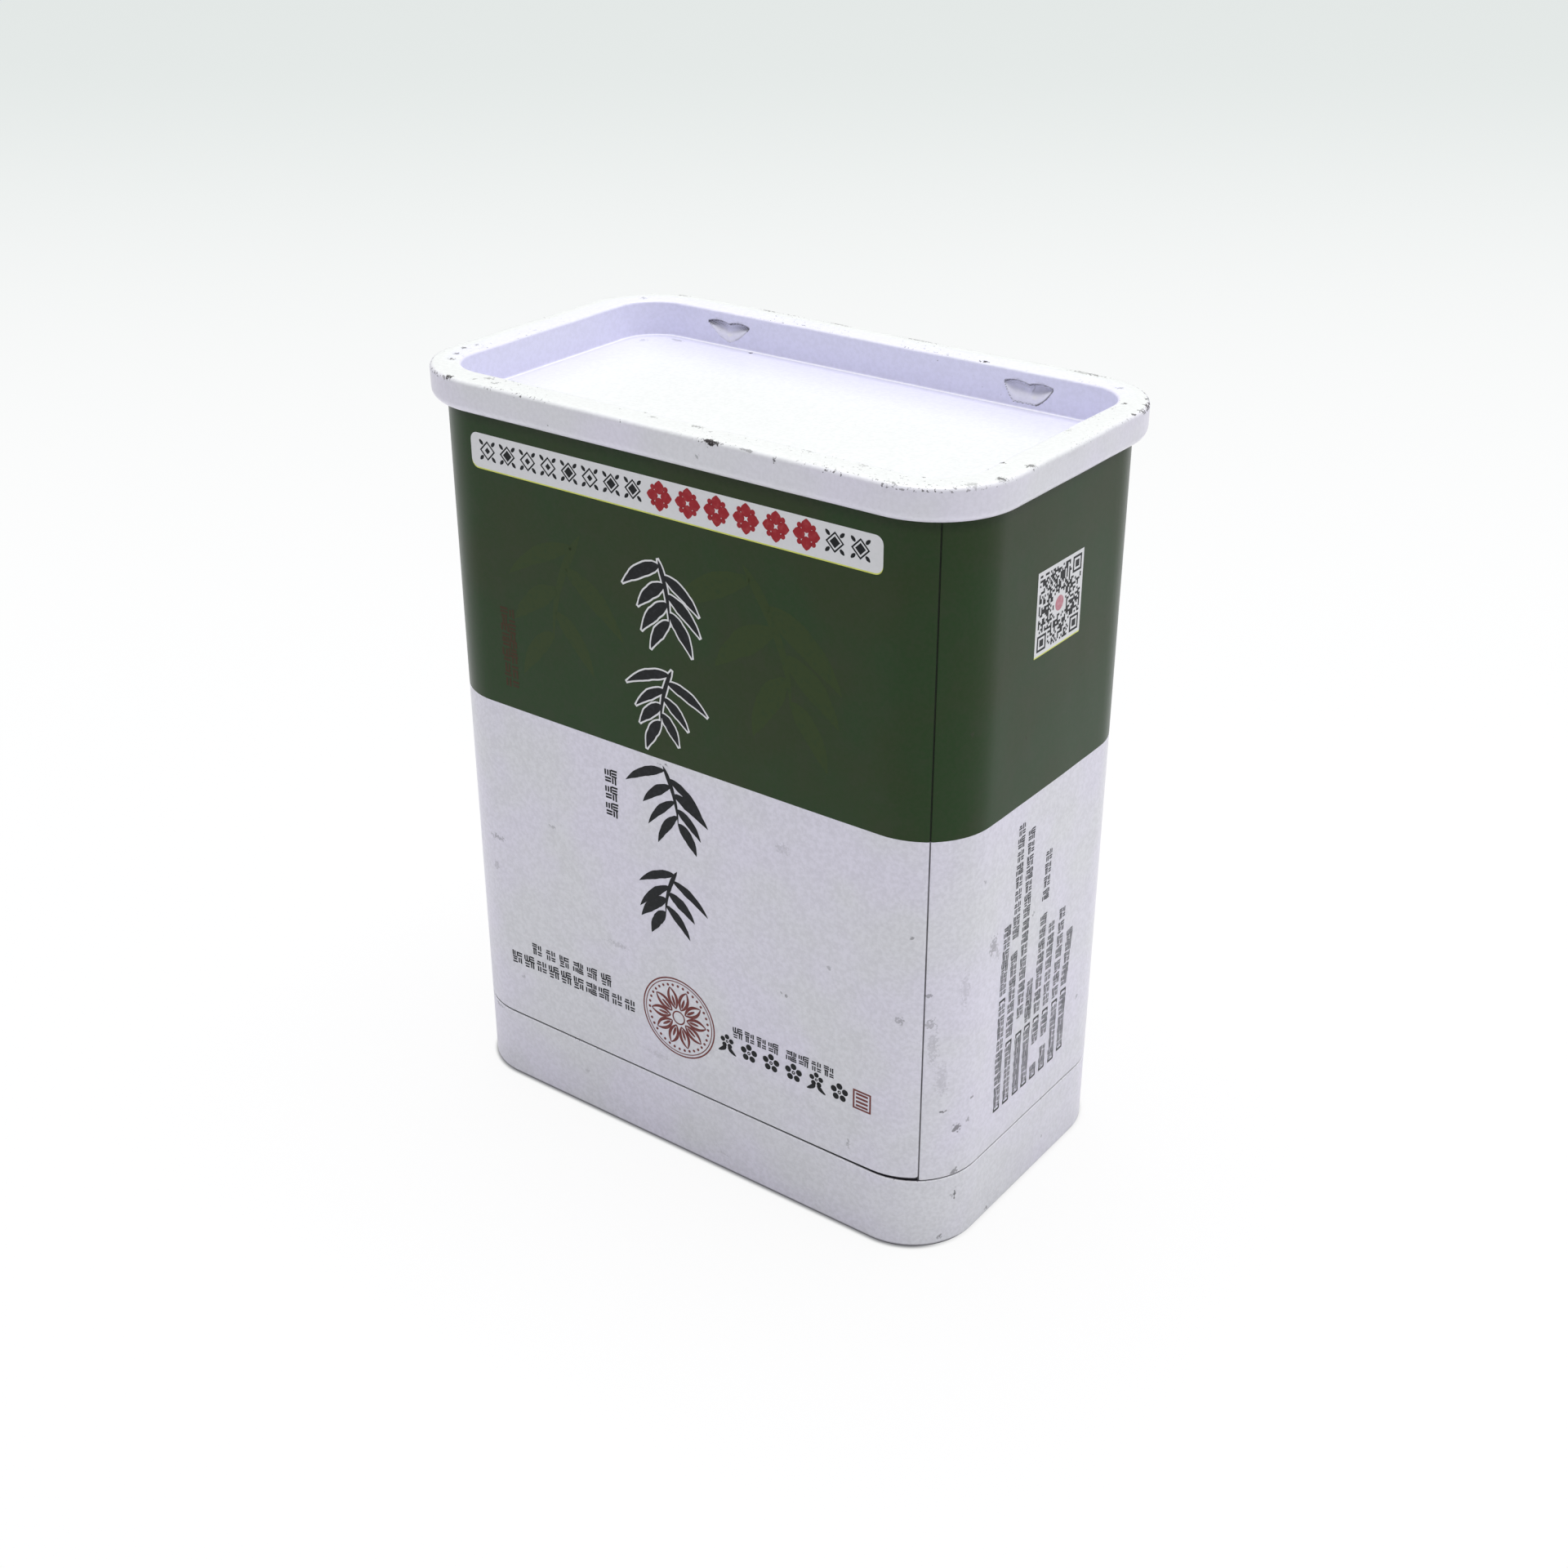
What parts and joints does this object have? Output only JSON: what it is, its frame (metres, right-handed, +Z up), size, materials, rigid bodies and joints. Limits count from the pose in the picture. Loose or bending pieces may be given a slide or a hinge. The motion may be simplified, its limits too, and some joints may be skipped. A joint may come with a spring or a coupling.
{
  "type": "tin box",
  "caption": "Shut rectangular tin for dried goods with rounded corners, standing upside down on its flush slip lid, with the recessed base and its projecting curled rim on top.",
  "frame": {"origin": "middle of the lid's crown, on the surface that the tin stands on", "axes": "+Z up, from the lid to the tin's base because it stands upside down; +X along the wide faces; -Y out of the front face"},
  "size_m": [0.0976, 0.0564, 0.12],
  "materials": {
    "printed_body": "satin litho print on tinplate: dark green over the upper half, white over the lower",
    "white_lid": "satin white lacquer on tinplate",
    "white_base": "satin white lacquer on tinplate, chipped at the rim"
  },
  "bodies": {
    "root": {"body": "printed_body", "lid": "white_lid", "base": "white_base"}
  },
  "joints": []
}
